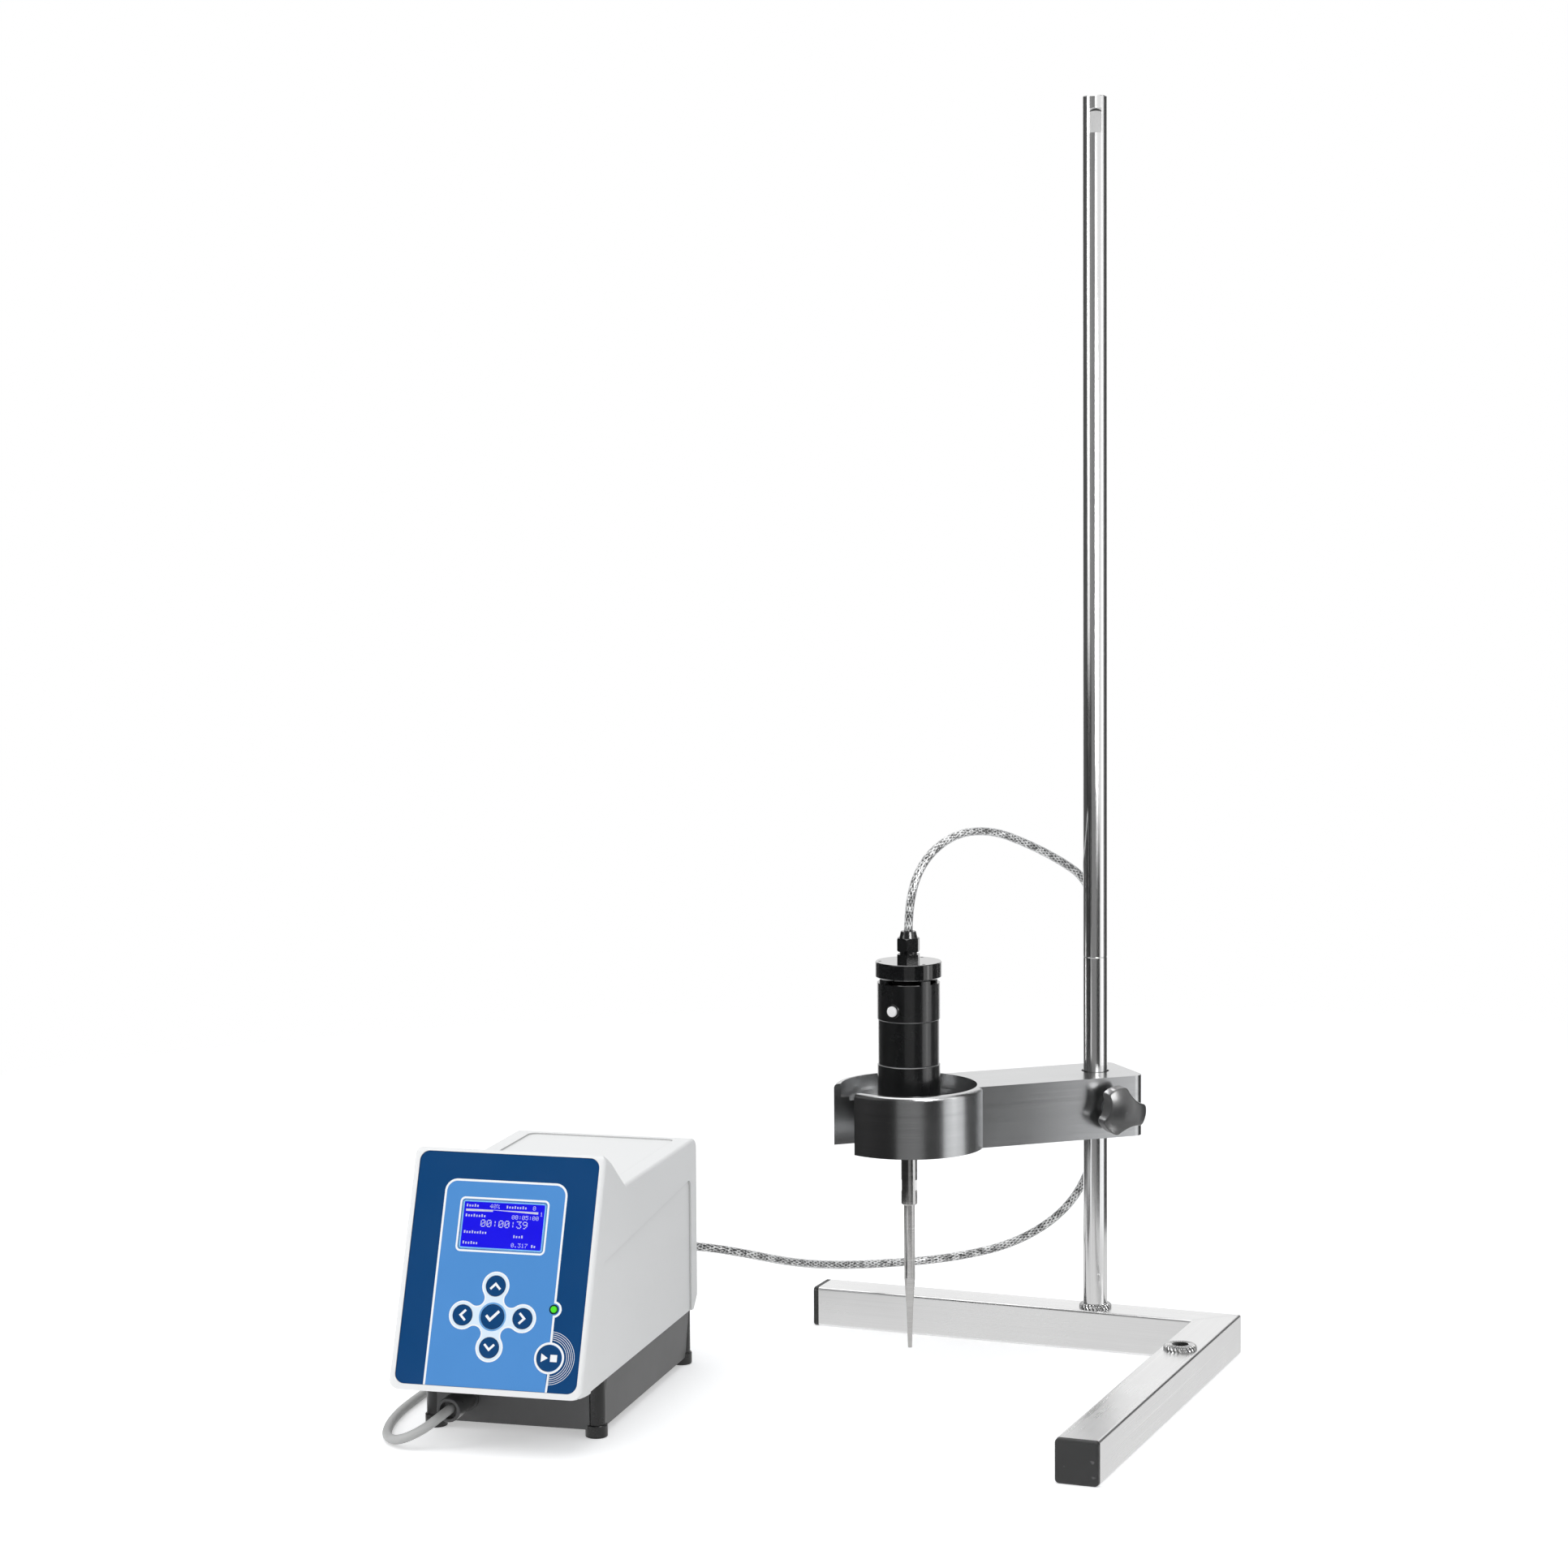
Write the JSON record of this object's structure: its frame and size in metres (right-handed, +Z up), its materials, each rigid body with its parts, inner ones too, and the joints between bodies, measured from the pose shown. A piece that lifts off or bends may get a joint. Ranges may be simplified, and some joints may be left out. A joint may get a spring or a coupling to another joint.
{
  "type": "probe sonicator",
  "caption": "Bench ultrasonic homogeniser: converter with horn and probe tip in a clamped holder ring on a rod stand, cabled to a sloped-panel generator.",
  "frame": {"origin": "on the table plane under the middle of the stand rod", "axes": "+X along the back beam of the stand to its welded corner, +Y away from the user, +Z up along the rod"},
  "size_m": [0.5323, 0.4795, 0.9314],
  "materials": {
    "stainless_tube": "brushed",
    "rod_steel": "ground",
    "zinc_steel": "plated",
    "arm_aluminium": "machined",
    "bush_bronze": "machined",
    "black_shell": "satin",
    "black_knob": "fine grain",
    "button_white": "gloss",
    "titanium": "turned",
    "piezo_ceramic": "fired",
    "contact_brass": "rolled",
    "housing_white": "fine texture",
    "tray_grey": "fine texture",
    "rubber_black": "matte",
    "foil_blue": "printed foil",
    "key_blue": "printed foil",
    "window_clear": "clear",
    "display_blue": "lit",
    "lamp_green": "lit",
    "board_green": "solder mask",
    "coil_yellow": "tape",
    "plain_aluminium": "sheet",
    "grey_plastic": "moulded",
    "braid_silver": "clear jacket over braid",
    "cable_grey": "jacket",
    "plug_grey": "satin"
  },
  "bodies": {
    "stand": {"base_back_beam": "stainless_tube", "base_front_beam": "stainless_tube", "beam_end_caps": "grey_plastic", "rod_boss": "stainless_tube", "spare_boss": "stainless_tube", "rod_lower": "rod_steel", "rod_upper": "rod_steel", "rod_joint_stud": "zinc_steel", "upper_housing": "housing_white", "lower_housing": "tray_grey", "generator_feet": "rubber_black", "front_foil": "foil_blue", "display_window": "window_clear", "lcd_module": "display_blue", "keypad_board": "board_green", "status_led": "lamp_green", "main_board": "board_green", "hf_transformer": "coil_yellow", "heat_sink": "plain_aluminium", "rear_panel": "plain_aluminium", "mains_inlet": "grey_plastic", "mains_switch_frame": "grey_plastic", "rear_screws": "zinc_steel", "base_screws": "zinc_steel", "cable_clip": "grey_plastic", "front_socket": "plug_grey", "plug_body": "plug_grey", "plug_collar": "plug_grey", "cable_splice": "grey_plastic", "hf_cable_lead": "braid_silver", "grey_lead": "cable_grey"},
    "bush": {"guide_bush": "bush_bronze"},
    "holder": {"holder_arm": "arm_aluminium", "bush_snap_ring": "zinc_steel", "converter_cap": "black_shell", "cap_screws": "zinc_steel", "converter_upper_shell": "black_shell", "converter_middle_shell": "black_shell", "converter_lower_shell": "black_shell", "button_bezel": "black_shell", "gland_body": "black_shell", "gland_nut": "black_shell", "horn": "titanium", "probe_tip": "titanium", "piezo_discs": "piezo_ceramic", "electrode_plate": "contact_brass", "back_mass": "zinc_steel", "stack_bolt": "zinc_steel", "hf_cable_arch": "braid_silver"},
    "washer": {"clamp_washer": "zinc_steel"},
    "knob": {"clamp_knob": "black_knob", "clamp_spindle": "zinc_steel"},
    "start_button": {"start_button": "button_white"},
    "rocker": {"mains_rocker": "grey_plastic"},
    "key_up": {"key_up": "key_blue"},
    "key_down": {"key_down": "key_blue"},
    "key_left": {"key_left": "key_blue"},
    "key_right": {"key_right": "key_blue"},
    "key_set": {"key_set": "key_blue"},
    "key_start": {"key_start": "key_blue"}
  },
  "joints": [
    {"name": "arm_height", "type": "slide", "parent": "stand", "child": "bush", "axis": [0, 0, 1], "range_m": [-0.01, 0.69], "deforming": ["hf_cable_lead"]},
    {"name": "arm_swivel", "type": "hinge", "parent": "bush", "child": "holder", "pos_m": [0, 0, 0.1865], "axis": [0, 0, 1], "range_deg": [-30, 70]},
    {"name": "washer_advance", "type": "slide", "parent": "holder", "child": "washer", "axis": [0.6665, -0.7455, 0], "range_m": [0, 0.00251]},
    {"name": "knob_turn", "type": "hinge", "parent": "washer", "child": "knob", "pos_m": [0.02, -0.02236, 0.1865], "axis": [0.6665, -0.7455, 0], "range_deg": [0, 720]},
    {"name": "start_press", "type": "slide", "parent": "holder", "child": "start_button", "axis": [0.1736, 0.9848, 0], "range_m": [0, 0.0012], "stiffness_N_per_m": 600},
    {"name": "key_up_press", "type": "slide", "parent": "stand", "child": "key_up", "axis": [-0.1057, 0.9276, -0.3584], "range_m": [0, 0.0005], "stiffness_N_per_m": 1500},
    {"name": "key_down_press", "type": "slide", "parent": "stand", "child": "key_down", "axis": [-0.1057, 0.9276, -0.3584], "range_m": [0, 0.0005], "stiffness_N_per_m": 1500},
    {"name": "key_left_press", "type": "slide", "parent": "stand", "child": "key_left", "axis": [-0.1057, 0.9276, -0.3584], "range_m": [0, 0.0005], "stiffness_N_per_m": 1500},
    {"name": "key_right_press", "type": "slide", "parent": "stand", "child": "key_right", "axis": [-0.1057, 0.9276, -0.3584], "range_m": [0, 0.0005], "stiffness_N_per_m": 1500},
    {"name": "key_set_press", "type": "slide", "parent": "stand", "child": "key_set", "axis": [-0.1057, 0.9276, -0.3584], "range_m": [0, 0.0005], "stiffness_N_per_m": 1500},
    {"name": "key_start_press", "type": "slide", "parent": "stand", "child": "key_start", "axis": [-0.1057, 0.9276, -0.3584], "range_m": [0, 0.0005], "stiffness_N_per_m": 1500},
    {"name": "mains_rock", "type": "hinge", "parent": "stand", "child": "rocker", "pos_m": [-0.35861, -0.15692, 0.112], "axis": [-0.9936, -0.1132, 0], "range_deg": [-20, 0]}
  ],
  "couplings": [
    {"joint": "washer_advance", "follows": "knob_turn", "m_per_rad": 0.00019894}
  ]
}
